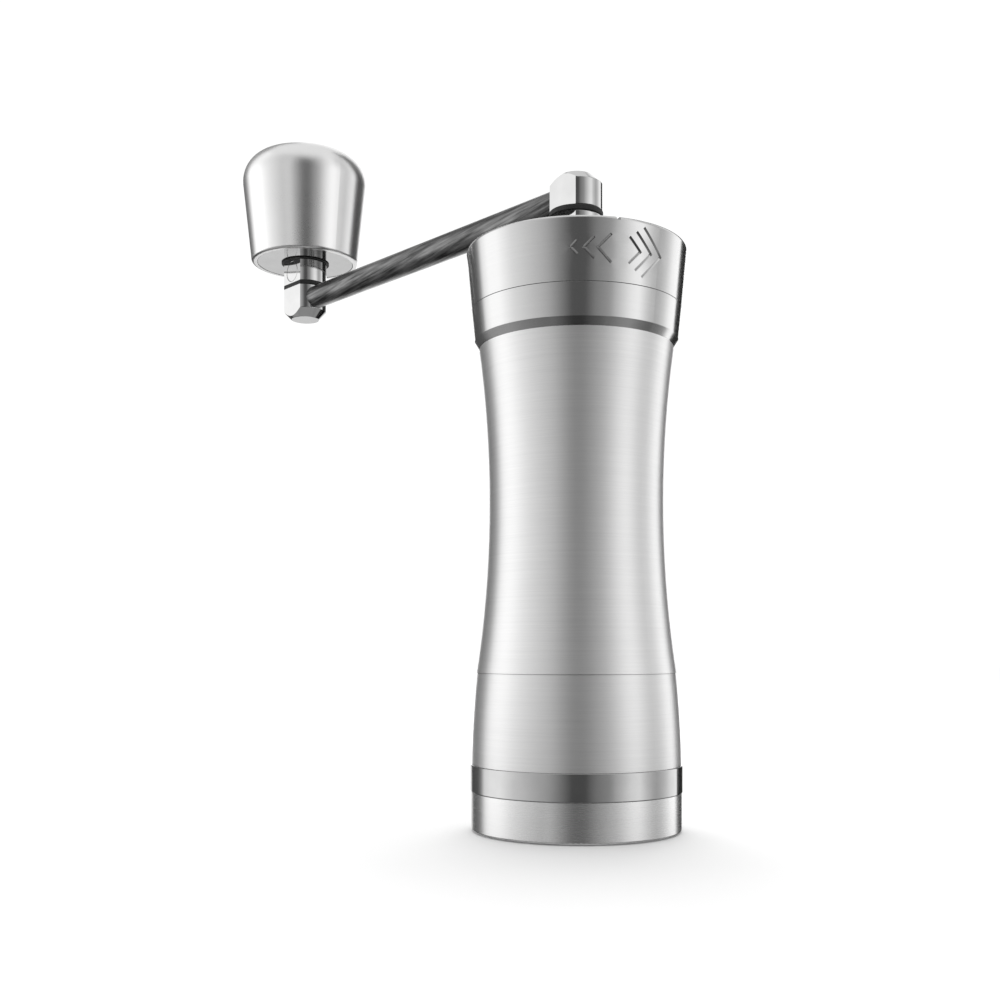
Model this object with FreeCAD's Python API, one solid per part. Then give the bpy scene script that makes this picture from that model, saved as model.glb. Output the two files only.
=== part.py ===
import FreeCAD, Part
import math
import os

# Hand crank coffee grinder, in millimetres. The origin is the centre of the foot, on the
# table. +Z runs up the axis of the body and the crank arm lies along -X.

V = FreeCAD.Vector
UP = V(0, 0, 1)
ALONG_X = V(1, 0, 0)
ALONG_Y = V(0, 1, 0)
ORIGIN = V(0, 0, 0)

# ------------------------------------------------------------------ driving dimensions
# Cup, with its base and polished band
foot_pad_r = 27.0
foot_pad_height = 1.6
base_clearance = 0.4
base_r = 30.0
base_top = 11.4
band_r = 30.25
band_top = 19.0
cup_belly_r = 29.82
cup_belly_z = 14.6
cup_curve_r = 292.0
cup_floor = 5.4
base_floor = 3.4
cup_cavity_r = 26.6
cup_mouth_r = 24.0
cup_spigot_r = 25.4
seam_z = 45.0

# Body, a waisted tube with a dark bevel and a collar on top
waist_r = 24.76
waist_z = 93.7
waist_curve_r = 326.0
body_top = 137.3
bevel_top = 139.5
collar_base_r = 29.01
collar_top_r = 29.9
dial_base = 148.35
dial_top = 165.3
dial_rim_r = 31.42
dial_bore_r = 24.6
collar_floor = 141.5
carrier_low = 142.2
carrier_high = 147.8

# Marks on the dial: arrow heads as (angle of the tip, half height), and an index notch
chevron_z = 156.9
chevron_width = 0.8
chevron_depth = 0.36
left_chevrons = [(-48.4, 1.75), (-41.8, 2.75), (-34.9, 3.65)]
right_chevrons = [(-12.1, 3.45), (-5.3, 5.0), (1.6, 6.45)]
index_deg = -24.7

# Grinding set
burr_seat_r = 23.5
burr_bottom = 52.0
burr_top = 68.0
burr_exit_r = 20.34
burr_gap = 0.5
burr_face_slope = 0.4716
shaft_r = 3.98

# Crank arm and its two fittings
arm_length = 140.5
arm_z = 181.3
tube_r = 4.0
tube_bore_r = 3.0
hub_r = 7.57
hub_flat = 5.5
hub_bottom = 176.8
hub_top = 187.0
coupling_top = 175.1
hub_button_z = 171.1
pin_r = 7.9
pin_flat = 5.76
pin_bottom = 174.3
pin_top = 185.6
stem_bottom = 187.05
stem_top = 194.85
knob_button_z = 191.1
button_r = 3.55
hex_flats = 6.0
latch_leg_x = 3.25
latch_bend_y = 1.2
latch_wire_r = 0.42

# Knob: a cone, a rounded shoulder and a shallow dome
knob_bottom = 195.1
knob_bottom_r = 19.56
knob_slope = 0.1086
knob_shoulder_r = 10.34
knob_dome_r = 53.5
knob_top = 236.3
knob_wall = 2.0
knob_plate_top = 198.1

# Clearances
seam_gap = 0.05
running_fit = 0.02
seat_fit = 0.02
slip_gap = 0.1

# ------------------------------------------------------------------------ worked out
crank_x = -arm_length
knob_plate_r = knob_bottom_r - knob_wall - 0.06


def body_radius(z):
    """Outside of the waisted body: a hollow arc."""
    return waist_r + waist_curve_r - math.sqrt(waist_curve_r ** 2 - (z - waist_z) ** 2)


def cup_radius(z):
    """Outside of the cup: a full arc."""
    return cup_belly_r - cup_curve_r + math.sqrt(cup_curve_r ** 2 - (z - cup_belly_z) ** 2)


def cone_radius(z, low, high):
    """Radius at height z on a cone through two (radius, height) points."""
    share = (z - low[1]) / (high[1] - low[1])
    return low[0] + share * (high[0] - low[0])


def dial_radius(z):
    return cone_radius(z, (collar_top_r, dial_base), (dial_rim_r, dial_top))


def collar_radius(z):
    return cone_radius(z, (collar_base_r, bevel_top), (collar_top_r, dial_base))


# ---------------------------------------------------------------------- basic shapes
def rounded_corner(before, corner, after, radius):
    """Start, middle and end of the arc that rounds a corner."""
    back = (before - corner).normalize()
    ahead = (after - corner).normalize()
    half = back.getAngle(ahead) / 2
    reach = radius / math.tan(half)
    centre = corner + (back + ahead).normalize() * (radius / math.sin(half))
    middle = centre + (corner - centre).normalize() * radius
    return corner + back * reach, middle, corner + ahead * reach


def outline_face(outline):
    """Face in the XZ plane. A corner is (r, z) or (r, z, rounding); an arc's end is
    (r, z, 0, (r_mid, z_mid)), and the arc comes from the corner before it."""
    corners = [V(item[0], 0, item[1]) for item in outline]
    count = len(outline)
    starts = []
    ends = []
    arcs = []
    for i, item in enumerate(outline):
        rounding = item[2] if len(item) > 2 else 0
        if rounding:
            first, middle, last = rounded_corner(corners[i - 1], corners[i],
                                                 corners[(i + 1) % count], rounding)
            arcs.append(Part.Arc(first, middle, last).toShape())
        else:
            first = last = corners[i]
        starts.append(first)
        ends.append(last)
    edges = []
    for i, item in enumerate(outline):
        begin = ends[i - 1]
        finish = starts[i]
        if len(item) > 3:
            middle = V(item[3][0], 0, item[3][1])
            edges.append(Part.Arc(begin, middle, finish).toShape())
        elif begin.distanceToPoint(finish) > 1e-6:
            edges.append(Part.LineSegment(begin, finish).toShape())
    return Part.Face(Part.Wire(Part.__sortEdges__(edges + arcs)))


def lathe(outline, x=0.0):
    """Turn an outline about the vertical axis through x."""
    solid = outline_face(outline).revolve(ORIGIN, UP, 360)
    solid.translate(V(x, 0, 0))
    return solid


def cylinder(radius, low, high, x=0.0, y=0.0):
    return Part.makeCylinder(radius, high - low, V(x, y, low), UP)


def ring(inner, outer, low, high, x=0.0):
    return lathe([(inner, low), (outer, low), (outer, high), (inner, high)], x)


def bar(x_range, y_range, z_range):
    corner = V(x_range[0], y_range[0], z_range[0])
    size = [b - a for a, b in (x_range, y_range, z_range)]
    return Part.makeBox(size[0], size[1], size[2], corner)


def across_y(radius, near, far, x, z):
    """Cylinder along Y from near to far."""
    return Part.makeCylinder(radius, far - near, V(x, near, z), ALONG_Y)


def hexagon(flats, low, high, x=0.0, first_deg=0.0):
    """Hexagonal bar on the vertical axis through x."""
    corner_r = flats / math.sqrt(3)
    points = []
    for i in range(7):
        angle = math.radians(first_deg + 60 * i)
        points.append(V(x + corner_r * math.cos(angle), corner_r * math.sin(angle), low))
    return Part.Face(Part.makePolygon(points)).extrude(V(0, 0, high - low))


def turned(shape, degrees, x=0.0):
    copy = shape.copy()
    copy.rotate(V(x, 0, 0), UP, degrees)
    return copy


def pattern(shape, count, first_deg=0.0, x=0.0):
    """Copies of a shape, evenly spaced about the vertical axis through x."""
    return [turned(shape, first_deg + i * 360.0 / count, x) for i in range(count)]


def coil(mean_r, wire_r, low, high, turns):
    """Compression spring standing between two heights."""
    rise = high - low - 2 * wire_r
    path = Part.makeHelix(rise / turns, rise, mean_r)
    path.translate(V(0, 0, low + wire_r))
    section = Part.Wire(Part.makeCircle(wire_r, V(mean_r, 0, low + wire_r), ALONG_Y))
    return Part.Wire(path.Edges).makePipeShell([section], True, True)


def circlip(inner, outer, low, high, gap_deg=40.0, x=0.0):
    """Split retaining ring with its gap towards +X."""
    gap = Part.makeCylinder(outer + 1, high - low + 2, V(x, 0, low - 1), UP, gap_deg)
    return ring(inner, outer, low, high, x).cut(turned(gap, -gap_deg / 2, x))


# ------------------------------------------------------------------------- bearings
class Bearing:
    """Deep-groove ball bearing, standing on z on the axis through x."""

    def __init__(self, bore, outer, width, ball_r, balls, z, x=0.0):
        self.bore_r = bore / 2
        self.outer_r = outer / 2
        self.low = z
        self.high = z + width
        self.middle = z + width / 2
        self.pitch_r = (self.bore_r + self.outer_r) / 2
        self.ball_r = ball_r
        self.balls_count = balls
        self.land = 0.7 * ball_r
        self.x = x

    def groove(self):
        centre = V(self.x, 0, self.middle)
        return Part.makeTorus(self.pitch_r, self.ball_r + 0.05, centre, UP)

    def inner_race(self):
        race = ring(self.bore_r, self.pitch_r - self.land, self.low, self.high, self.x)
        return race.cut(self.groove())

    def outer_race(self):
        race = ring(self.pitch_r + self.land, self.outer_r, self.low, self.high, self.x)
        return race.cut(self.groove())

    def balls(self):
        ball = Part.makeSphere(self.ball_r, V(self.x + self.pitch_r, 0, self.middle))
        return pattern(ball, self.balls_count, 0.0, self.x)


lower_bearing = Bearing(8, 16, 5, 0.95, 9, 75.5)
carrier_bearings = [Bearing(8, 16, 5, 0.95, 9, z) for z in (137.5, 147.5)]
knob_bearings = [Bearing(10, 15, 4, 0.7, 13, z, crank_x) for z in (199.1, 218.0)]
bearing_seat_r = lower_bearing.outer_r + seat_fit
knob_seat_r = knob_bearings[0].outer_r + seat_fit


# ------------------------------------------------------------------------------- cup
def foot_pad():
    return lathe([(0, 0), (foot_pad_r, 0, 0.4), (foot_pad_r, foot_pad_height), (0, foot_pad_height)])


def cup_base():
    """Heavy disc: a recess for the pad below and a socket for the cup wall above."""
    outline = [(0, foot_pad_height), (foot_pad_r + slip_gap, foot_pad_height),
               (foot_pad_r + slip_gap, base_clearance), (base_r, base_clearance, 0.5),
               (base_r, base_top - seam_gap, 0.15), (27.52, base_top - seam_gap),
               (27.52, base_floor), (0, base_floor)]
    return lathe(outline)


def cup_band():
    """Polished ring standing slightly proud of the cup."""
    return lathe([(28.62, base_top), (band_r, base_top, 0.2), (band_r, band_top, 0.2),
                  (28.62, band_top)])


def cup_wall():
    rim = seam_z - seam_gap
    middle = (band_top + rim) / 2
    outline = [(0, base_floor), (27.5, base_floor), (27.5, base_top), (28.6, base_top),
               (28.6, band_top + seam_gap), (cup_radius(band_top), band_top + seam_gap),
               (cup_radius(rim), rim, 0, (cup_radius(middle), middle)),
               (cup_spigot_r, rim), (cup_spigot_r, 48.8, 0.3), (cup_mouth_r, 48.8, 0.3),
               (cup_mouth_r, 43.5, 4), (cup_cavity_r, 37.0, 8), (cup_cavity_r, 20.0),
               (25.8, 19.0), (25.8, cup_floor, 3), (0, cup_floor)]
    return lathe(outline)


# --------------------------------------------------------------------------- housing
def body_shell():
    """Waisted tube: cup mouth, burr chamber, hopper and collar socket, from below."""
    foot = seam_z + seam_gap
    outer_middle = (foot + body_top) / 2
    outline = [(25.5, foot), (body_radius(foot), foot),
               (body_radius(body_top), body_top, 0, (body_radius(outer_middle), outer_middle)),
               (dial_bore_r, body_top), (dial_bore_r, 130.0), (24.3, 130.0),
               (22.4, 74.0, 0, (22.7, 95.0)), (burr_seat_r + seat_fit, 74.0),
               (burr_seat_r + seat_fit, burr_bottom), (25.5, burr_bottom)]
    return lathe(outline)


def burr_retainer():
    """Threaded ring that holds the outer burr up, with spanner slots and magnet pockets."""
    blank = ring(20.9, 25.45, 49.0, burr_bottom)
    slot = bar((20.0, 26.0), (-1.5, 1.5), (48.5, 50.2))
    slots = [turned(slot, angle) for angle in (30, 150, 210, 330)]
    pocket = cylinder(1.5, 48.5, 50.8, 23.2)
    return blank.cut(slots + pattern(pocket, 6))


def cup_magnets():
    return Part.makeCompound(pattern(cylinder(1.48, 49.0, 50.78, 23.2), 6))


def burr_flute(width, depth, low, high, lean_deg, wind_deg):
    """Cutter for one tooth gap: a square bar leaning along a cone and wound round it."""
    length = math.hypot(high[0] - low[0], high[1] - low[1]) + 4
    flute = bar((-depth, depth), (-width / 2, width / 2), (-length / 2, length / 2))
    flute.rotate(ORIGIN, UP, 45 if width == 2 * depth else 0)
    flute.rotate(ORIGIN, ALONG_X, wind_deg)
    flute.rotate(ORIGIN, ALONG_Y, lean_deg)
    flute.translate(V((low[0] + high[0]) / 2, 0, (low[1] + high[1]) / 2))
    return flute


def outer_burr():
    """Ring burr: a wide feed throat above fine finishing teeth."""
    throat = (17.5, 58.0)
    feed = (21.3, 66.5)
    exit_point = (burr_exit_r, burr_bottom)
    blank = lathe([exit_point, (burr_seat_r, burr_bottom), (burr_seat_r, burr_top),
                   (feed[0], burr_top), feed, throat])
    feed_lean = math.degrees(math.atan2(feed[0] - throat[0], feed[1] - throat[1]))
    exit_lean = -math.degrees(math.atan2(exit_point[0] - throat[0], throat[1] - exit_point[1]))
    coarse = burr_flute(2.6, 0.9, throat, feed, feed_lean, 24)
    fine = burr_flute(0.9, 0.45, exit_point, throat, exit_lean, 18)
    fine.translate(V(0.1, 0, -1.5))
    return blank.cut(pattern(coarse, 12) + pattern(fine, 36))


def inner_burr():
    """Cone burr: steep feed flutes above fine finishing teeth."""
    edge = (burr_exit_r - burr_gap, burr_bottom)
    shoulder = (edge[0] - burr_face_slope * 9, burr_bottom + 9)
    tip = (9.5, 68.4)
    bore = shaft_r + running_fit
    blank = lathe([(bore, 55.0), (15.0, 55.0), (15.6, 51.0), (edge[0] - 0.6, 51.0), edge,
                   shoulder, tip, (bore, tip[1])])
    feed_lean = -math.degrees(math.atan2(shoulder[0] - tip[0], tip[1] - shoulder[1]))
    exit_lean = -math.degrees(math.atan(burr_face_slope))
    coarse = burr_flute(3.4, 1.5, shoulder, tip, feed_lean, -28)
    fine = burr_flute(0.9, 0.45, edge, shoulder, exit_lean, -18)
    fine.translate(V(0, 0, -2.5))
    return blank.cut(pattern(coarse, 7) + pattern(fine, 36))


def lower_bridge():
    """Spider over the burrs that carries the lower bearing."""
    rim = ring(20.4, burr_seat_r, burr_top, 74.0)
    hub = lathe([(7.0, 69.2), (10.5, 69.2, 0.5), (10.5, 81.9, 1.0), (bearing_seat_r, 81.9),
                 (bearing_seat_r, lower_bearing.low), (7.0, lower_bearing.low)])
    arm = bar((9.5, 21.5), (-2.0, 2.0), (69.6, 74.0))
    spider = rim.fuse([hub] + pattern(arm, 3, 90)).removeSplitter()
    return spider.cut(ring(7.9, 8.5, 80.7, 81.4))


def lower_circlip():
    return circlip(7.2, 8.45, 80.75, 81.35)


def guide_pin_places(radius, low, high):
    return pattern(cylinder(radius, low, high, 24.4), 3, 30)


def top_collar():
    """Bevelled collar: a spigot in the body, a floor under the carrier, a wall round the dial."""
    dial_pocket_r = 27.7
    outline = [(22.0, 131.0), (dial_bore_r - seat_fit, 131.0), (dial_bore_r - seat_fit, body_top),
               (body_radius(body_top), body_top), (collar_base_r, bevel_top, 0.15),
               (collar_radius(148.3), 148.3, 0.08), (dial_pocket_r, 148.3),
               (dial_pocket_r, 145.1), (28.3, 145.1), (28.3, 143.9), (dial_pocket_r, 143.9),
               (dial_pocket_r, collar_floor), (22.0, collar_floor)]
    click_pocket = cylinder(0.85, 138.2, 142.0, 0, -26.7)
    return lathe(outline).cut(guide_pin_places(1.5, 138.0, 142.0) + [click_pocket])


def guide_pins():
    return Part.makeCompound(guide_pin_places(1.48, 138.0, 146.9))


def dial_snap_ring():
    return circlip(27.2, 28.2, 144.0, 145.0)


def click_ball():
    return Part.makeSphere(0.75, V(0, -26.7, 141.2))


def click_spring():
    spring = coil(0.5, 0.16, 138.25, 140.4, 5)
    spring.translate(V(0, -26.7, 0))
    return spring


# ------------------------------------------------------------------------------ dial
def groove_section(arc, z, lean):
    """Triangle across a V groove at one point of the dial, its groove leaning from level."""
    angle = arc / dial_radius(chevron_z)
    outwards = V(math.cos(angle), math.sin(angle), 0)
    around = V(-math.sin(angle), math.cos(angle), 0)
    across = UP * math.cos(lean) - around * math.sin(lean)
    point = outwards * dial_radius(z) + V(0, 0, z)
    proud = outwards * chevron_depth
    corners = [point - proud, point + proud + across * chevron_width,
               point + proud - across * chevron_width, point - proud]
    return Part.makePolygon(corners)


def chevron_arms(tip_deg, half_height, direction):
    """The two V grooves of an arrow head; direction +1 points towards rising angles."""
    tip_arc = math.radians(tip_deg) * dial_radius(chevron_z)
    start = -chevron_width / 2 / math.sqrt(2)
    steps = 6
    arms = []
    for side in (-1, 1):
        sections = []
        for i in range(steps + 1):
            run = start + (half_height - start) * i / steps
            lean = math.atan2(side, -direction)
            sections.append(groove_section(tip_arc - direction * run, chevron_z + side * run, lean))
        arms.append(Part.makeLoft(sections, True, True))
    return arms


def grind_dial():
    """Adjusting ring: a threaded skirt inside the collar and a marked outside cone."""
    skirt_bore = 26.4
    skirt_r = 27.6
    outline = [(skirt_bore, 142.0), (skirt_r, 142.0), (skirt_r, 143.9), (27.1, 143.9),
               (27.1, 145.1), (skirt_r, 145.1), (skirt_r, dial_base + seam_gap),
               (dial_radius(dial_base), dial_base + seam_gap, 0.08),
               (dial_rim_r, dial_top, 0.9), (dial_bore_r, dial_top, 0.8), (dial_bore_r, 160.0),
               (27.2, 157.4), (27.2, 150.8), (skirt_bore, 150.0)]
    blank = lathe(outline)
    grooves = []
    for tip, height in left_chevrons:
        grooves += chevron_arms(tip, height, -1)
    for tip, height in right_chevrons:
        grooves += chevron_arms(tip, height, 1)
    index = turned(bar((29.3, 33.0), (-0.55, 0.55), (dial_top - 0.9, dial_top + 1)), index_deg)
    detent = Part.makeSphere(0.7, V(26.9, 0, 141.62))
    return blank.cut(grooves + [index] + pattern(detent, 30, -90))


# --------------------------------------------------------------------------- carrier
def shaft_carrier():
    """Spider that slides on the pins and holds the two upper bearings."""
    rim = ring(22.3, 26.3, carrier_low, carrier_high)
    lower, upper = carrier_bearings
    hub = lathe([(bearing_seat_r, 136.5), (9.6, 136.5, 0.5), (9.6, 153.6, 0.8),
                 (bearing_seat_r, 153.6), (bearing_seat_r, upper.low), (6.9, upper.low),
                 (6.9, lower.high), (bearing_seat_r, lower.high)])
    arm = bar((8.8, 23.0), (-2.4, 2.4), (carrier_low, carrier_high))
    spider = rim.fuse([hub] + pattern(arm, 3, 90)).removeSplitter()
    grooves = [ring(7.9, 8.5, low, low + 0.7) for low in (136.7, 152.65)]
    return spider.cut(guide_pin_places(1.55, 141.0, 149.0) + grooves)


def carrier_circlips():
    return Part.makeCompound([circlip(7.2, 8.45, low, low + 0.6) for low in (136.75, 152.7)])


def scale_funnel():
    """Fixed scale ring with a filling neck, standing on the carrier inside the dial."""
    top = 162.5
    outline = [(22.6, carrier_high), (24.4, carrier_high), (24.4, top, 0.3), (18.6, top, 0.5),
               (18.6, 159.4), (22.6, 154.4)]
    minor = bar((22.9, 25.0), (-0.15, 0.15), (top - 0.25, top + 1))
    major = bar((21.6, 25.0), (-0.2, 0.2), (top - 0.25, top + 1))
    ticks = pattern(minor, 60, index_deg) + pattern(major, 12, index_deg)
    return lathe(outline).cut(ticks)


# ------------------------------------------------------------------------ drivetrain
def flats(x, half, low, high):
    """Cutters for two flat sides facing -Y and +Y on a round fitting."""
    return [bar((x - 12, x + 12), span, (low, high)) for span in ((-12, -half), (half, 12))]


def drive_shaft():
    shaft = lathe([(0, 46.0), (shaft_r, 46.0, 0.4), (shaft_r, 158.0, 0.4), (0, 158.0)])
    clip_groove = ring(3.5, 5.0, 136.65, 137.45)
    pin_hole = across_y(1.0, -5, 5, 0, 156.5)
    return shaft.cut([clip_groove, pin_hole])


def shaft_clip():
    return circlip(3.55, 5.2, 136.7, 137.4, 70.0)


def burr_washer():
    return ring(4.05, 9.0, 54.0, 55.0)


def burr_nut():
    nut = hexagon(13.0, 47.0, 54.0)
    trim = lathe([(shaft_r + running_fit, 46.5), (6.7, 46.5), (7.5, 47.4), (7.5, 54.0),
                  (shaft_r + running_fit, 54.0)])
    return nut.common(trim)


def preload_spring():
    return coil(4.75, 0.4, 68.45, 75.45, 4)


def bearing_spacer():
    lower, upper = carrier_bearings
    return ring(4.05, 5.2, lower.high, upper.low)


def coupling_washer():
    return ring(4.05, 5.4, carrier_bearings[1].high, 153.8)


def latch_space(x, z, radius):
    """Room in a socket for a latch button and for the hairpin spring behind it."""
    half_width = latch_leg_x + 0.65
    half_height = 0.6
    low = z - half_height
    high = z + half_height
    button_bore = across_y(button_r + 0.07, -radius - 1, -3.55, x, z)
    slot = bar((x - half_width, x + half_width), (-3.6, latch_bend_y), (low, high))
    bend = cylinder(half_width, low, high, x, latch_bend_y)
    return [button_bore, slot, bend]


def drive_coupling():
    """Round socket on the shaft that takes the crank's hexagon."""
    blank = lathe([(0, 153.8), (hub_r, 153.8, 0.3), (hub_r, coupling_top, 0.3), (0, coupling_top)])
    shaft_hole = cylinder(shaft_r + running_fit, 153.0, 158.2)
    socket = hexagon(hex_flats + 0.12, 160.0, 176.0)
    pin_hole = across_y(1.0, -9, 9, 0, 156.5)
    sides = flats(0, hub_flat, 165.5, coupling_top)
    latch = latch_space(0, hub_button_z, hub_r)
    return blank.cut([shaft_hole, socket, pin_hole] + sides + latch)


def coupling_pin():
    return across_y(0.99, -7.2, 7.2, 0, 156.5)


def latch_spring(x, z):
    """Hairpin of round wire whose legs sit in the groove of the hexagon."""
    legs = [across_y(latch_wire_r, -3.3, latch_bend_y, x + side * latch_leg_x, z)
            for side in (-1, 1)]
    start = Part.makeCircle(latch_wire_r, V(x + latch_leg_x, latch_bend_y, z), ALONG_Y)
    bend = Part.Face(Part.Wire(start)).revolve(V(x, latch_bend_y, z), UP, 180)
    return legs[0].fuse([legs[1], bend]).removeSplitter()


def latch_button(x, z, face):
    """Round button with a wedge nose that spreads the hairpin."""
    back = face + 1.1
    disc = across_y(button_r, face, back, x, z)
    nose = bar((x - 2.2, x + 2.2), (back - 0.1, back + 0.5), (z - 0.45, z + 0.45))
    button = disc.fuse(nose).removeSplitter()
    rim = [edge for edge in disc.Edges if abs(edge.BoundBox.YMax - face) < 0.01
           and abs(edge.BoundBox.YMin - face) < 0.01]
    visible = [edge for edge in button.Edges
               if any(edge.CenterOfMass.distanceToPoint(one.CenterOfMass) < 0.01 for one in rim)]
    return button.makeFillet(0.25, visible[:1])


# ----------------------------------------------------------------------- hopper lid
def hopper_lid():
    """Lid that plugs the filling neck round the coupling."""
    outline = [(7.8, 160.2), (18.4, 160.2, 0.3), (18.4, 160.75), (17.3, 160.75), (17.3, 161.85),
               (18.4, 161.85), (18.4, 162.55), (21.0, 162.55, 0.2), (21.0, 164.6, 0.6),
               (18.0, 164.6, 0.3), (17.2, 163.9, 0.3), (10.2, 163.9, 0.3), (9.4, 164.6, 0.3),
               (7.8, 164.6, 0.3)]
    return lathe(outline)


def lid_seal():
    return Part.makeTorus(17.9, 0.5, V(0, 0, 161.3), UP)


# ----------------------------------------------------------------------------- crank
def hub_fitting():
    outline = [(0, hub_bottom), (hub_r, hub_bottom, 0.2), (hub_r, hub_top - 2.5, 0.3),
               (4.9, hub_top, 0.3), (0, hub_top)]
    tube_bore = Part.makeCylinder(tube_r + seat_fit, 16, V(-12, 0, arm_z), ALONG_X)
    stud_bore = cylinder(2.01, hub_bottom - 1, 185.9)
    return lathe(outline).cut(flats(0, hub_flat, hub_bottom, hub_top) + [tube_bore, stud_bore])


def hub_gasket():
    return lathe([(3.6, coupling_top), (hub_r + 0.18, coupling_top, 0.4),
                  (hub_r + 0.18, hub_bottom, 0.4), (3.6, hub_bottom)])


def hex_stud(x, free_end, shoulder, groove_z, pin_end):
    """Hexagon with a latch groove, and a round pin that crosses the crank tube."""
    lead = 1.5 if free_end > shoulder else -1.5
    shank = hexagon(hex_flats, min(free_end, shoulder), max(free_end, shoulder), x)
    pin = cylinder(1.99, min(shoulder, pin_end), max(shoulder, pin_end), x)
    groove = ring(2.75, 4.5, groove_z - 0.65, groove_z + 0.65, x)
    lead_in = lathe([(2.9, free_end), (4.4, free_end), (4.4, free_end - lead)], x)
    return shank.fuse(pin).removeSplitter().cut(groove).cut(lead_in)


def crank_tube():
    """Wound carbon tube, closed in by the two fittings and crossed by their pins."""
    left = crank_x - 4.0
    right = 4.0
    rod = Part.makeCylinder(tube_r, right - left, V(left, 0, arm_z), ALONG_X)
    bore = Part.makeCylinder(tube_bore_r, right - left + 2, V(left - 1, 0, arm_z), ALONG_X)
    pins = [cylinder(2.01, arm_z - 6, arm_z + 6, x) for x in (0, crank_x)]
    return rod.cut([bore] + pins)


def pin_fitting():
    chamfer = 2.8
    outline = [(0, pin_bottom), (pin_r - chamfer, pin_bottom, 0.3),
               (pin_r, pin_bottom + chamfer, 0.3), (pin_r, pin_top, 0.2), (0, pin_top)]
    tube_bore = Part.makeCylinder(tube_r + seat_fit, 16.1, V(crank_x - 4.1, 0, arm_z), ALONG_X)
    stud_bore = cylinder(2.01, 176.0, pin_top + 1, crank_x)
    sides = flats(crank_x, pin_flat, pin_bottom, pin_top)
    return lathe(outline, crank_x).cut(sides + [tube_bore, stud_bore])


def stem_gasket():
    blank = lathe([(3.6, pin_top), (pin_r + 0.05, pin_top, 0.2), (pin_r + 0.05, stem_bottom, 0.2),
                   (3.6, stem_bottom)], crank_x)
    return blank.cut(flats(crank_x, pin_flat, pin_top, stem_bottom))


# ------------------------------------------------------------------------ knob mount
def knob_stem():
    """Stem that plugs on the crank's stud and carries the knob's axle."""
    seat = knob_bearings[0]
    outline = [(0, stem_bottom), (pin_r, stem_bottom, 0.15), (pin_r, stem_top, 0.15),
               (5.9, stem_top), (5.9, seat.low), (seat.bore_r - running_fit, seat.low),
               (seat.bore_r - running_fit, 221.9, 0.3), (0, 221.9)]
    socket = hexagon(hex_flats + 0.12, stem_bottom - 1, 198.0, crank_x)
    screw_hole = cylinder(1.5, 212.0, 223.0, crank_x)
    sides = flats(crank_x, pin_flat, stem_bottom, stem_top)
    latch = latch_space(crank_x, knob_button_z, pin_r)
    return lathe(outline, crank_x).cut([socket, screw_hole] + sides + latch)


def knob_seal():
    return ring(5.92, 8.7, stem_top, knob_bottom + 0.02, crank_x)


def knob_spacer():
    lower, upper = knob_bearings
    return ring(5.02, 5.75, lower.high, upper.low, crank_x)


def knob_washer():
    return ring(1.7, 5.7, 222.02, 223.0, crank_x)


def knob_screw():
    head = lathe([(0, 223.0), (2.9, 223.0), (2.9, 225.2, 0.4), (0, 225.2)], crank_x)
    shank = cylinder(1.48, 213.0, 223.0, crank_x)
    return head.fuse(shank).removeSplitter().cut(hexagon(2.5, 223.9, 226.0, crank_x))


# ------------------------------------------------------------------------------ knob
def knob_outline():
    """Tangent points and arc middles of the knob's outside, worked out from its radii."""
    lean = math.atan(knob_slope)
    dome_z = knob_top - knob_dome_r
    reach = knob_dome_r - knob_shoulder_r
    inset = V(knob_bottom_r - knob_shoulder_r * math.cos(lean), 0,
              knob_bottom + knob_shoulder_r * math.sin(lean))
    along = V(math.sin(lean), 0, math.cos(lean))
    start = inset - V(0, 0, dome_z)
    across = start.dot(along)
    travel = -across + math.sqrt(across ** 2 - start.dot(start) + reach ** 2)
    centre = inset + along * travel
    side = centre + V(math.cos(lean), 0, -math.sin(lean)) * knob_shoulder_r
    outwards = (centre - V(0, 0, dome_z)).normalize()
    dome_edge = centre + outwards * knob_shoulder_r
    middle = centre + (side + dome_edge - centre * 2).normalize() * knob_shoulder_r
    crown_lean = math.atan2(outwards.x, outwards.z) / 2
    crown = V(knob_dome_r * math.sin(crown_lean), 0, dome_z + knob_dome_r * math.cos(crown_lean))
    return side, middle, dome_edge, crown


def knob_shell():
    side, middle, dome_edge, crown = knob_outline()
    outer = lathe([(0, knob_bottom), (knob_bottom_r, knob_bottom, 1.0), (side.x, side.z),
                   (dome_edge.x, dome_edge.z, 0, (middle.x, middle.z)),
                   (0, knob_top, 0, (crown.x, crown.z))], crank_x)
    mouth_r = knob_bottom_r - knob_wall
    inner = lathe([(0, knob_bottom - 1), (mouth_r, knob_bottom - 1), (mouth_r, knob_bottom),
                   (20.2, 222.0), (19.2, 228.0), (15.0, 232.2), (0, 233.4)], crank_x)
    return outer.cut(inner)


def knob_core():
    """Bobbin inside the knob: bearing seats in a hub between two flanges."""
    lower, upper = knob_bearings
    outline = [(knob_seat_r, knob_plate_top), (knob_plate_r, knob_plate_top),
               (knob_plate_r, knob_plate_top + 2.0), (9.6, knob_plate_top + 3.4), (9.6, 220.4),
               (19.3, 221.6), (19.3, 223.4), (knob_seat_r, 223.4), (knob_seat_r, upper.low),
               (6.7, upper.low), (6.7, lower.high), (knob_seat_r, lower.high)]
    return lathe(outline, crank_x)


def knob_base_plate():
    """Polished disc set into the underside of the knob."""
    low = knob_bottom + 0.12
    return lathe([(6.4, low), (knob_plate_r, low, 0.15), (knob_plate_r, knob_plate_top),
                  (6.4, knob_plate_top)], crank_x)


# ---------------------------------------------------------------------------- export
def all_balls(bearings):
    return Part.makeCompound([ball for one in bearings for ball in one.balls()])


def races(bearings, kind):
    return Part.makeCompound([getattr(one, kind)() for one in bearings])


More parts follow.
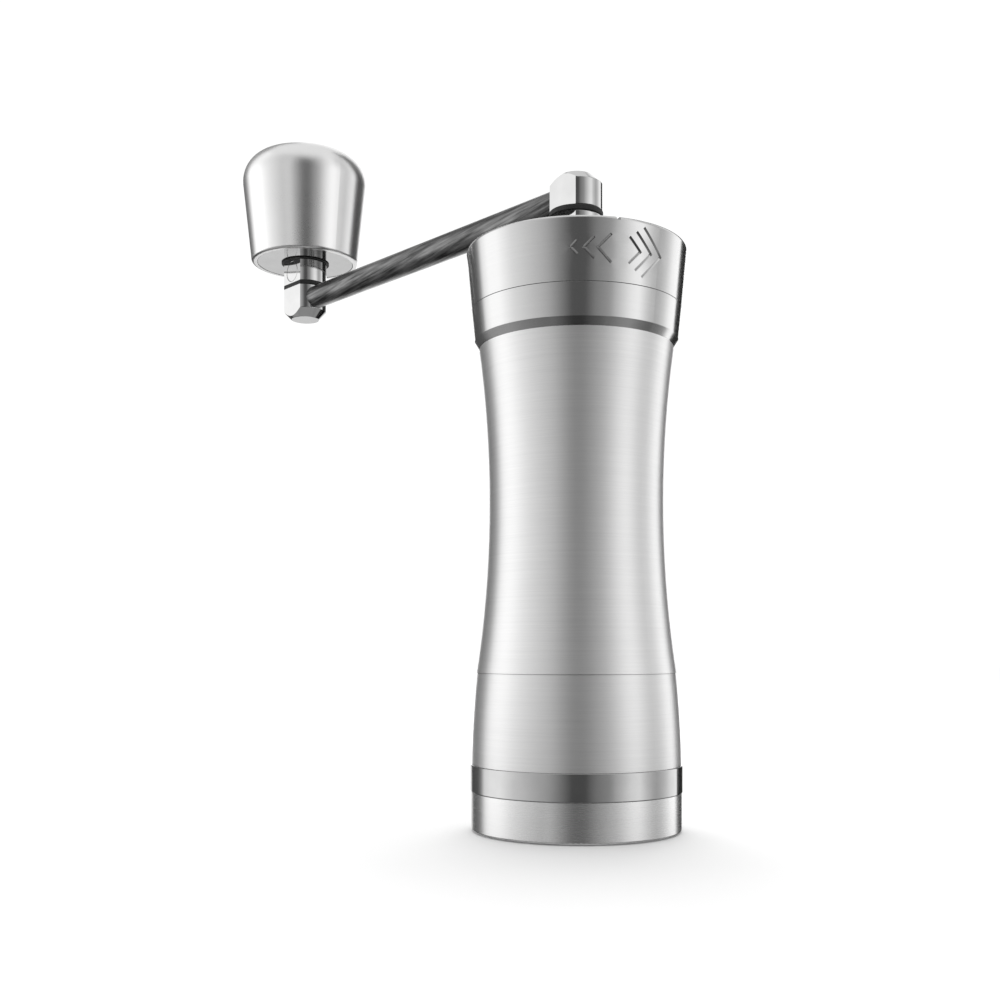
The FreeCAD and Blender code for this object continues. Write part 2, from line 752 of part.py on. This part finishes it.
parts = {
    "foot_pad": foot_pad(),
    "cup_base": cup_base(),
    "cup_band": cup_band(),
    "cup_wall": cup_wall(),
    "body_shell": body_shell(),
    "burr_retainer": burr_retainer(),
    "cup_magnets": cup_magnets(),
    "outer_burr": outer_burr(),
    "lower_bridge": lower_bridge(),
    "lower_outer_race": lower_bearing.outer_race(),
    "lower_bearing_balls": all_balls([lower_bearing]),
    "lower_circlip": lower_circlip(),
    "lower_inner_race": lower_bearing.inner_race(),
    "top_collar": top_collar(),
    "guide_pins": guide_pins(),
    "dial_snap_ring": dial_snap_ring(),
    "click_ball": click_ball(),
    "click_spring": click_spring(),
    "grind_dial": grind_dial(),
    "shaft_carrier": shaft_carrier(),
    "carrier_circlips": carrier_circlips(),
    "carrier_outer_races": races(carrier_bearings, "outer_race"),
    "carrier_balls": all_balls(carrier_bearings),
    "scale_funnel": scale_funnel(),
    "drive_shaft": drive_shaft(),
    "shaft_clip": shaft_clip(),
    "inner_burr": inner_burr(),
    "burr_washer": burr_washer(),
    "burr_nut": burr_nut(),
    "preload_spring": preload_spring(),
    "carrier_inner_races": races(carrier_bearings, "inner_race"),
    "bearing_spacer": bearing_spacer(),
    "coupling_washer": coupling_washer(),
    "drive_coupling": drive_coupling(),
    "coupling_pin": coupling_pin(),
    "hub_latch_spring": latch_spring(0, hub_button_z),
    "hub_button": latch_button(0, hub_button_z, -hub_flat),
    "hopper_lid": hopper_lid(),
    "lid_seal": lid_seal(),
    "hub_fitting": hub_fitting(),
    "hub_gasket": hub_gasket(),
    "hub_stud": hex_stud(0, 160.5, hub_bottom, hub_button_z, 185.8),
    "crank_tube": crank_tube(),
    "pin_fitting": pin_fitting(),
    "knob_stud": hex_stud(crank_x, 197.5, pin_top, knob_button_z, 176.1),
    "stem_gasket": stem_gasket(),
    "knob_stem": knob_stem(),
    "knob_latch_spring": latch_spring(crank_x, knob_button_z),
    "knob_button": latch_button(crank_x, knob_button_z, -pin_flat),
    "knob_seal": knob_seal(),
    "knob_inner_races": races(knob_bearings, "inner_race"),
    "knob_spacer": knob_spacer(),
    "knob_washer": knob_washer(),
    "knob_screw": knob_screw(),
    "knob_shell": knob_shell(),
    "knob_core": knob_core(),
    "knob_base_plate": knob_base_plate(),
    "knob_outer_races": races(knob_bearings, "outer_race"),
    "knob_balls": all_balls(knob_bearings),
}

os.makedirs("parts", exist_ok=True)
for node, shape in parts.items():
    if not shape.isValid() or not shape.Solids or shape.Volume <= 0:
        raise ValueError("bad solid: " + node)
    shape.exportStep("parts/" + node + ".step")
    print(node, "solids", len(shape.Solids), "volume", round(shape.Volume, 1))
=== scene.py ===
import math

import bmesh
import bpy
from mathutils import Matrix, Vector


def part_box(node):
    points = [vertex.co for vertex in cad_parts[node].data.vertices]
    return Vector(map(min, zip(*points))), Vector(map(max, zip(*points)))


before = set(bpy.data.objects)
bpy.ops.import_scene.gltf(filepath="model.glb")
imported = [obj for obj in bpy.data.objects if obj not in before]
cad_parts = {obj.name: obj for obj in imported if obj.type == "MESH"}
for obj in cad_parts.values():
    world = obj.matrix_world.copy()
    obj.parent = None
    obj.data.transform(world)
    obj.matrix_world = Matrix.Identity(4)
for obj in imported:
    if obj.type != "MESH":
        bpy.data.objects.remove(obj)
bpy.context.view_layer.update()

# ------------------------------------------------------------------ driving values (metres)
view_azimuth = math.radians(47.9)      # the camera stands this far round from the -Y side
view_distance = 0.350                  # from the camera to the axis of the body, along the view
view_sideways = 0.0218                 # the axis lies this far right of the optical axis
eye_height = 0.05125
lens_mm = 43.97
lens_shift_up = 0.151

room_white = 1.05                      # brightness of the white room
lamp_watts = 4.8                       # a soft lamp above and behind, for the shadow at the foot
lamp_size = 0.5
lamp_height = 0.9
lamp_back = 0.35
floor_size = 8.0
tent_radius = 1.5
tent_low = -0.6
tent_height = 2.2
ceiling_glow = 0.95
low_back_glow = 0.85                   # low wall behind the object
back_from = 158                        # degrees at which the back of the tent begins
screen_radius = 0.36                   # the dark screen round the camera
screen_span = 35.0
screen_back_glow = 0.80
flag_span = (133, 156)                 # a black flag at the same distance, behind on the right
flag_top = 0.9
pit_glow = 0.40                        # straight below the object
pit_share = 0.27                       # share of the wall's brightness round the pit

# Brightness round the light tent: (degrees right of the camera's side, brightness). Listed
# from grey levels that a script measured in the photograph.
tent_panels = [
    (-180, 1.6), (-168, 1.6), (-163, 0.10), (-150, 0.10), (-134, 0.14), (-126, 0.35),
    (-119, 1.25), (-108, 1.58), (-92, 1.58), (-72, 1.12), (-46, 0.78), (-32, 0.60),
    (-20, 0.34), (-8, 0.12), (6, 0.12), (16, 0.30), (30, 0.45), (44, 0.88), (56, 1.28),
    (66, 1.42), (76, 1.00), (90, 0.58), (104, 0.92), (116, 1.40), (131, 1.58),
    (134, 0.03), (155, 0.03), (160, 1.6), (180, 1.6),
]

tow_twist = 27.0                       # radians per metre along the crank tube

view_ahead = Vector((-math.sin(view_azimuth), math.cos(view_azimuth), 0))
view_right = Vector((math.cos(view_azimuth), math.sin(view_azimuth), 0))

arm_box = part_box("crank_tube")
arm_z = (arm_box[0].z + arm_box[1].z) / 2


# -------------------------------------------------------------------------- shader helpers
class Shader:
    """A material under construction: one Principled BSDF and the nodes that feed it."""

    def __init__(self, name):
        self.material = bpy.data.materials.new(name)
        self.material.use_nodes = True
        self.tree = self.material.node_tree
        self.tree.nodes.clear()
        self.bsdf = self.add("ShaderNodeBsdfPrincipled")
        output = self.add("ShaderNodeOutputMaterial")
        self.link(self.bsdf.outputs[0], output.inputs[0])
        self.place = self.add("ShaderNodeTexCoord").outputs["Object"]

    def add(self, kind, **settings):
        node = self.tree.nodes.new(kind)
        for key, value in settings.items():
            setattr(node, key, value)
        return node

    def link(self, source, target):
        self.tree.links.new(source, target)

    def set(self, **values):
        """Constant values on the BSDF's own sockets; an underscore stands for a space."""
        for key, value in values.items():
            self.bsdf.inputs[key.replace("_", " ")].default_value = value

    def feed(self, socket, source):
        self.link(source, self.bsdf.inputs[socket])

    def math(self, operation, first, second=None):
        node = self.add("ShaderNodeMath", operation=operation)
        for i, value in enumerate((first, second)):
            if value is None:
                continue
            if isinstance(value, (int, float)):
                node.inputs[i].default_value = value
            else:
                self.link(value, node.inputs[i])
        return node.outputs[0]

    def scaled(self, scale, vector=None):
        node = self.add("ShaderNodeMapping")
        node.inputs["Scale"].default_value = scale
        self.link(vector or self.place, node.inputs["Vector"])
        return node.outputs[0]

    def noise(self, vector, scale=1.0, detail=2.0, roughness=0.5):
        node = self.add("ShaderNodeTexNoise")
        node.inputs["Scale"].default_value = scale
        node.inputs["Detail"].default_value = detail
        node.inputs["Roughness"].default_value = roughness
        self.link(vector, node.inputs["Vector"])
        return node.outputs["Fac"]

    def spread(self, source, low, high, from_low=0.3, from_high=0.7):
        """Stretch a noise value to a range."""
        node = self.add("ShaderNodeMapRange")
        node.inputs["From Min"].default_value = from_low
        node.inputs["From Max"].default_value = from_high
        node.inputs["To Min"].default_value = low
        node.inputs["To Max"].default_value = high
        self.link(source, node.inputs["Value"])
        return node.outputs[0]

    def colours(self, source, dark, light, from_low=0.3, from_high=0.7):
        ramp = self.add("ShaderNodeValToRGB")
        stops = ramp.color_ramp.elements
        stops[0].position = from_low
        stops[0].color = (*dark, 1)
        stops[1].position = from_high
        stops[1].color = (*light, 1)
        self.link(source, ramp.inputs["Fac"])
        return ramp.outputs["Color"]

    def bump(self, height, distance, strength=1.0):
        node = self.add("ShaderNodeBump")
        node.inputs["Distance"].default_value = distance
        node.inputs["Strength"].default_value = strength
        self.link(height, node.inputs["Height"])
        self.feed("Normal", node.outputs[0])

    def turned_grain(self):
        """The tangent of a turned surface, so that reflections smear up and down."""
        tangent = self.add("ShaderNodeTangent", direction_type="RADIAL", axis="Z")
        self.feed("Tangent", tangent.outputs[0])


def grey(value, warmth=0.0):
    return (value * (1 + warmth), value, value * (1 - warmth))


# ------------------------------------------------------------------------------ materials
def brushed_steel(name, tone, roughness, grain, contrast, line_depth, metallic=1.0):
    """Stainless steel with fine lines running round the axis; grain is lines per metre."""
    shader = Shader(name)
    fine = shader.noise(shader.scaled((70, 70, grain)), detail=3.0, roughness=0.7)
    long = shader.noise(shader.scaled((8, 8, grain * 0.22)), detail=2.0)
    cloud = shader.noise(shader.place, scale=45.0, detail=3.0)
    lines = shader.math("ADD", shader.math("MULTIPLY", fine, 0.65),
                        shader.math("MULTIPLY", long, 0.35))
    shader.feed("Base Color", shader.colours(lines, grey(tone * (1 - contrast), 0.001),
                                             grey(tone * (1 + contrast), 0.002)))
    uneven = shader.math("ADD",
                         shader.spread(lines, roughness - contrast / 4, roughness + contrast / 4),
                         shader.spread(cloud, -contrast / 6, contrast / 6))
    shader.feed("Roughness", uneven)
    shader.bump(lines, line_depth)
    shader.turned_grain()
    shader.set(Metallic=metallic, Anisotropic=0.6, Anisotropic_Rotation=0.25)
    return shader.material


def polished_steel(name, tone, roughness):
    """Mirror-like steel with faint turning marks and a slight haze."""
    shader = Shader(name)
    marks = shader.noise(shader.scaled((60, 60, 2600)), detail=2.0)
    haze = shader.noise(shader.place, scale=160.0, detail=4.0)
    shader.feed("Base Color", shader.colours(haze, grey(tone * 0.95, 0.001),
                                             grey(tone * 1.04, 0.001)))
    shader.feed("Roughness", shader.math("ADD",
                                         shader.spread(haze, roughness * 0.8, roughness * 1.3),
                                         shader.spread(marks, -0.01, 0.015)))
    shader.bump(marks, 6e-7)
    shader.set(Metallic=1.0)
    return shader.material


def satin_alloy(name, tone, roughness, blast):
    """Fine blasted aluminium."""
    shader = Shader(name)
    grains = shader.noise(shader.place, scale=5200.0, detail=2.0, roughness=0.6)
    cloud = shader.noise(shader.place, scale=60.0, detail=3.0)
    shader.feed("Base Color", shader.colours(cloud, grey(tone * 0.97, 0.002),
                                             grey(tone * 1.03, 0.002)))
    shader.feed("Roughness", shader.math("ADD",
                                         shader.spread(grains, roughness - 0.015, roughness + 0.015),
                                         shader.spread(cloud, -0.015, 0.015)))
    shader.bump(grains, blast)
    shader.turned_grain()
    shader.set(Metallic=1.0, Anisotropic=0.45, Anisotropic_Rotation=0.25)
    return shader.material


def black_rubber():
    shader = Shader("black_rubber_surface")
    grains = shader.noise(shader.place, scale=3000.0, detail=3.0)
    patches = shader.noise(shader.place, scale=220.0, detail=2.0)
    shader.feed("Base Color", shader.colours(patches, grey(0.008), grey(0.022)))
    shader.feed("Roughness", shader.spread(grains, 0.5, 0.72))
    shader.bump(grains, 1.5e-5)
    shader.set(Specular_IOR_Level=0.4)
    return shader.material


def wound_carbon():
    """Carbon tows laid along the tube with a slow twist, under clear resin."""
    shader = Shader("wound_carbon_surface")
    split = shader.add("ShaderNodeSeparateXYZ")
    shader.link(shader.place, split.inputs[0])
    twist = shader.add("ShaderNodeVectorRotate", rotation_type="X_AXIS")
    twist.inputs["Center"].default_value = (0, 0, arm_z)
    shader.link(shader.place, twist.inputs["Vector"])
    shader.link(shader.math("MULTIPLY", split.outputs["X"], tow_twist), twist.inputs["Angle"])
    wound = twist.outputs[0]
    tows = shader.noise(shader.scaled((55, 1100, 1100), wound), detail=5.0, roughness=0.65)
    patches = shader.noise(shader.scaled((75, 300, 300), wound), detail=1.5)
    streaks = shader.math("ADD", shader.math("MULTIPLY", tows, 0.6),
                          shader.math("MULTIPLY", patches, 0.4))
    shader.feed("Base Color", shader.colours(streaks, grey(0.02), grey(0.26), 0.40, 0.66))
    shader.feed("Roughness", shader.spread(streaks, 0.42, 0.28))
    shader.bump(tows, 3e-5)
    shader.set(Metallic=0.85, Coat_Weight=0.35, Coat_Roughness=0.1, Coat_IOR=1.35)
    return shader.material


def black_anodised():
    shader = Shader("black_anodised_surface")
    lines = shader.noise(shader.scaled((50, 50, 3500)), detail=3.0)
    grains = shader.noise(shader.place, scale=3500.0, detail=2.0)
    shader.feed("Base Color", shader.colours(grains, grey(0.020), grey(0.038)))
    shader.feed("Roughness", shader.spread(lines, 0.34, 0.46))
    shader.bump(grains, 4e-6)
    shader.set(Metallic=0.6)
    return shader.material


def ground_steel(name, tone, roughness):
    """Plain machined steel for the inner pieces: coarse tool marks and darker patches."""
    shader = Shader(name)
    marks = shader.noise(shader.scaled((120, 120, 1800)), detail=4.0, roughness=0.65)
    patches = shader.noise(shader.place, scale=90.0, detail=3.0)
    shader.feed("Base Color", shader.colours(patches, grey(tone * 0.85), grey(tone * 1.1, 0.01)))
    shader.feed("Roughness", shader.spread(marks, roughness - 0.08, roughness + 0.1))
    shader.bump(marks, 4e-6)
    shader.set(Metallic=1.0)
    return shader.material


def dress(nodes, material):
    """Give CAD nodes a material in all their slots."""
    for node in nodes:
        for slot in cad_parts[node].material_slots:
            slot.link = "DATA"
            slot.material = material


def dress_all():
    brushed = brushed_steel("brushed_body_surface", 0.74, 0.38, 5200, 0.05, 1.2e-6, 0.86)
    dress(["cup_wall", "body_shell"], brushed)
    dress(["cup_base"], brushed_steel("brushed_base_surface", 0.76, 0.27, 5200, 0.04, 6e-7, 0.96))
    collar = brushed_steel("satin_collar_surface", 0.60, 0.17, 7000, 0.03, 5e-7)
    dress(["top_collar", "grind_dial"], collar)
    dress(["cup_band"], polished_steel("polished_band_surface", 0.47, 0.11))
    bright = polished_steel("polished_fitting_surface", 0.56, 0.07)
    dress(["hub_fitting", "pin_fitting", "knob_stem", "drive_coupling", "hub_button",
           "knob_button", "knob_base_plate"], bright)
    dress(["knob_shell"], satin_alloy("knob_surface", 0.78, 0.29, 3e-7))
    dress(["lower_bridge", "shaft_carrier", "knob_core", "burr_retainer"],
          satin_alloy("machined_alloy_surface", 0.5, 0.38, 2e-6))
    dress(["scale_funnel", "hopper_lid"], black_anodised())
    dress(["outer_burr", "inner_burr"], ground_steel("burr_surface", 0.36, 0.32))
    dress(["drive_shaft", "hub_stud", "knob_stud", "coupling_pin", "guide_pins", "burr_washer",
           "burr_nut", "coupling_washer", "bearing_spacer", "knob_spacer", "knob_washer",
           "knob_screw"], ground_steel("turned_steel_surface", 0.55, 0.26))
    dress(["lower_outer_race", "lower_inner_race", "carrier_outer_races", "carrier_inner_races",
           "knob_outer_races", "knob_inner_races", "lower_bearing_balls", "carrier_balls",
           "knob_balls", "click_ball"], polished_steel("bearing_surface", 0.6, 0.12))
    dress(["lower_circlip", "carrier_circlips", "shaft_clip", "dial_snap_ring", "click_spring",
           "preload_spring", "hub_latch_spring", "knob_latch_spring"],
          ground_steel("spring_surface", 0.28, 0.3))
    dress(["cup_magnets"], polished_steel("magnet_surface", 0.62, 0.16))
    dress(["foot_pad", "lid_seal", "hub_gasket", "stem_gasket", "knob_seal"], black_rubber())
    dress(["crank_tube"], wound_carbon())


# ------------------------------------------------------------------------------ the studio
def tent_brightness(degrees):
    for (first, low), (last, high) in zip(tent_panels, tent_panels[1:]):
        if first <= degrees <= last:
            share = (degrees - first) / (last - first)
            return low + (high - low) * share
    return tent_panels[0][1]


def glowing_rings(name, rings, first=-180.0, last=180.0):
    """A surface of light through rings of (radius, height, brightness at an angle in degrees),
    seen only in the object's reflections. It runs from the first angle to the last."""
    steps = round(2 * (last - first))
    verts = []
    glows = []
    for radius, z, brightness in rings:
        for i in range(steps + 1):
            degrees = first + (last - first) * i / steps
            angle = view_azimuth - math.pi / 2 + math.radians(degrees)
            verts.append((radius * math.cos(angle), radius * math.sin(angle), z))
            glows.append(brightness(degrees))
    row = steps + 1
    faces = []
    for start in range(0, len(verts) - row, row):
        for i in range(start, start + steps):
            faces.append((i, i + 1, i + 1 + row, i + row))
    mesh = bpy.data.meshes.new(name)
    mesh.from_pydata(verts, [], faces)
    glow = mesh.attributes.new("glow", "FLOAT", "POINT")
    glow.data.foreach_set("value", glows)
    material = bpy.data.materials.new(name + "_light")
    material.use_nodes = True
    tree = material.node_tree
    tree.nodes.clear()
    reader = tree.nodes.new("ShaderNodeAttribute")
    reader.attribute_name = "glow"
    lamp = tree.nodes.new("ShaderNodeEmission")
    output = tree.nodes.new("ShaderNodeOutputMaterial")
    tree.links.new(reader.outputs["Fac"], lamp.inputs["Strength"])
    tree.links.new(lamp.outputs[0], output.inputs[0])
    material.cycles.emission_sampling = "NONE"
    mesh.materials.append(material)
    surface = bpy.data.objects.new(name, mesh)
    bpy.context.scene.collection.objects.link(surface)
    surface.visible_camera = False
    surface.visible_diffuse = False
    surface.visible_shadow = False
    surface.visible_transmission = False


def wall_brightness(degrees):
    """The far wall: plain where the dark camera screen hides it from the body."""
    if abs(degrees) < screen_span:
        return screen_back_glow
    return tent_brightness(degrees)


def low_brightness(degrees):
    """Low on the wall: plain behind the object as well."""
    if abs(degrees) > back_from:
        return low_back_glow
    return wall_brightness(degrees)


def high_brightness(degrees):
    return 0.25 + 0.6 * wall_brightness(degrees)


def pit_brightness(degrees):
    if abs(degrees) > back_from:
        return low_back_glow
    return pit_share * tent_brightness(degrees)


def even(glow):
    return lambda degrees: glow


def light_tent():
    """Wall, ceiling, pit, the dark screen round the camera and a flag. The steel sees the pit
    through the floor, which it cannot see."""
    glowing_rings("tent_wall", [(tent_radius, tent_low, pit_brightness),
                                (tent_radius, -0.30, pit_brightness),
                                (tent_radius, -0.24, low_brightness),
                                (tent_radius, -0.12, low_brightness),
                                (tent_radius, -0.06, wall_brightness),
                                (tent_radius, 0.55, wall_brightness),
                                (tent_radius, 1.1, high_brightness),
                                (tent_radius, tent_height, high_brightness)])
    glowing_rings("tent_ceiling", [(tent_radius, tent_height, even(ceiling_glow)),
                                   (0.001, tent_height, even(ceiling_glow))])
    glowing_rings("tent_pit", [(tent_radius, tent_low, pit_brightness),
                               (0.5, tent_low, pit_brightness),
                               (0.35, tent_low, even(pit_glow)),
                               (0.001, tent_low, even(pit_glow))])
    glowing_rings("camera_screen", [(screen_radius, -0.12, tent_brightness),
                                    (screen_radius, 0.48, tent_brightness),
                                    (screen_radius, 0.70, high_brightness)],
                  -screen_span, screen_span)
    glowing_rings("black_flag", [(screen_radius, z, tent_brightness) for z in (-0.12, flag_top)],
                  flag_span[0], flag_span[1])


def studio_floor():
    """Pale floor whose colour is painted lighter towards its far edge, as painted light in place of
    the lamp's light, which falls short there.
    """
    mesh = bpy.data.meshes.new("studio_floor")
    half = floor_size / 2
    mesh.from_pydata([(-half, -half, 0), (half, -half, 0), (half, half, 0), (-half, half, 0)],
                     [], [(0, 1, 2, 3)])
    shader = Shader("studio_floor_surface")
    mottle = shader.noise(shader.place, scale=6.0, detail=3.0)
    painted_light_distance = shader.add("ShaderNodeVectorMath", operation="LENGTH")
    shader.link(shader.place, painted_light_distance.inputs[0])
    # painted light: the floor colour runs from darker near the object, where the lamp shines, to
    # lighter far out, where the lamp gives no light
    shader.feed("Base Color", shader.colours(painted_light_distance.outputs["Value"], grey(0.79), grey(0.97),
                                             0.35, 1.0))
    shader.feed("Roughness", shader.spread(mottle, 0.5, 0.6))
    shader.set(Specular_IOR_Level=0.0)
    mesh.materials.append(shader.material)
    floor = bpy.data.objects.new("studio_floor", mesh)
    bpy.context.scene.collection.objects.link(floor)
    floor.visible_glossy = False


def white_room():
    world = bpy.data.worlds.new("white_room")
    bpy.context.scene.world = world
    world.use_nodes = True
    background = world.node_tree.nodes["Background"]
    background.inputs["Color"].default_value = (1, 1, 1, 1)
    background.inputs["Strength"].default_value = room_white
    world.cycles.sampling_method = "NONE"


def soft_lamp():
    """Square lamp aimed at the foot, not seen in the reflections."""
    data = bpy.data.lights.new("soft_lamp", "AREA")
    data.energy = lamp_watts
    data.size = lamp_size
    lamp = bpy.data.objects.new("soft_lamp", data)
    bpy.context.scene.collection.objects.link(lamp)
    lamp.location = view_ahead * lamp_back + Vector((0, 0, lamp_height))
    lamp.rotation_euler = (-lamp.location).to_track_quat("-Z", "Y").to_euler()
    lamp.visible_glossy = False
    lamp.visible_camera = False


def camera():
    data = bpy.data.cameras.new("camera")
    data.lens = lens_mm
    data.sensor_width = 36.0
    data.shift_y = lens_shift_up
    data.clip_end = 50.0
    eye = bpy.data.objects.new("camera", data)
    bpy.context.scene.collection.objects.link(eye)
    eye.location = (-view_ahead * view_distance - view_right * view_sideways
                    + Vector((0, 0, eye_height)))
    eye.rotation_euler = (math.pi / 2, 0, view_azimuth)
    bpy.context.scene.camera = eye


dress_all()
white_room()
studio_floor()
light_tent()
soft_lamp()
camera()
bpy.context.scene.view_settings.view_transform = "Standard"
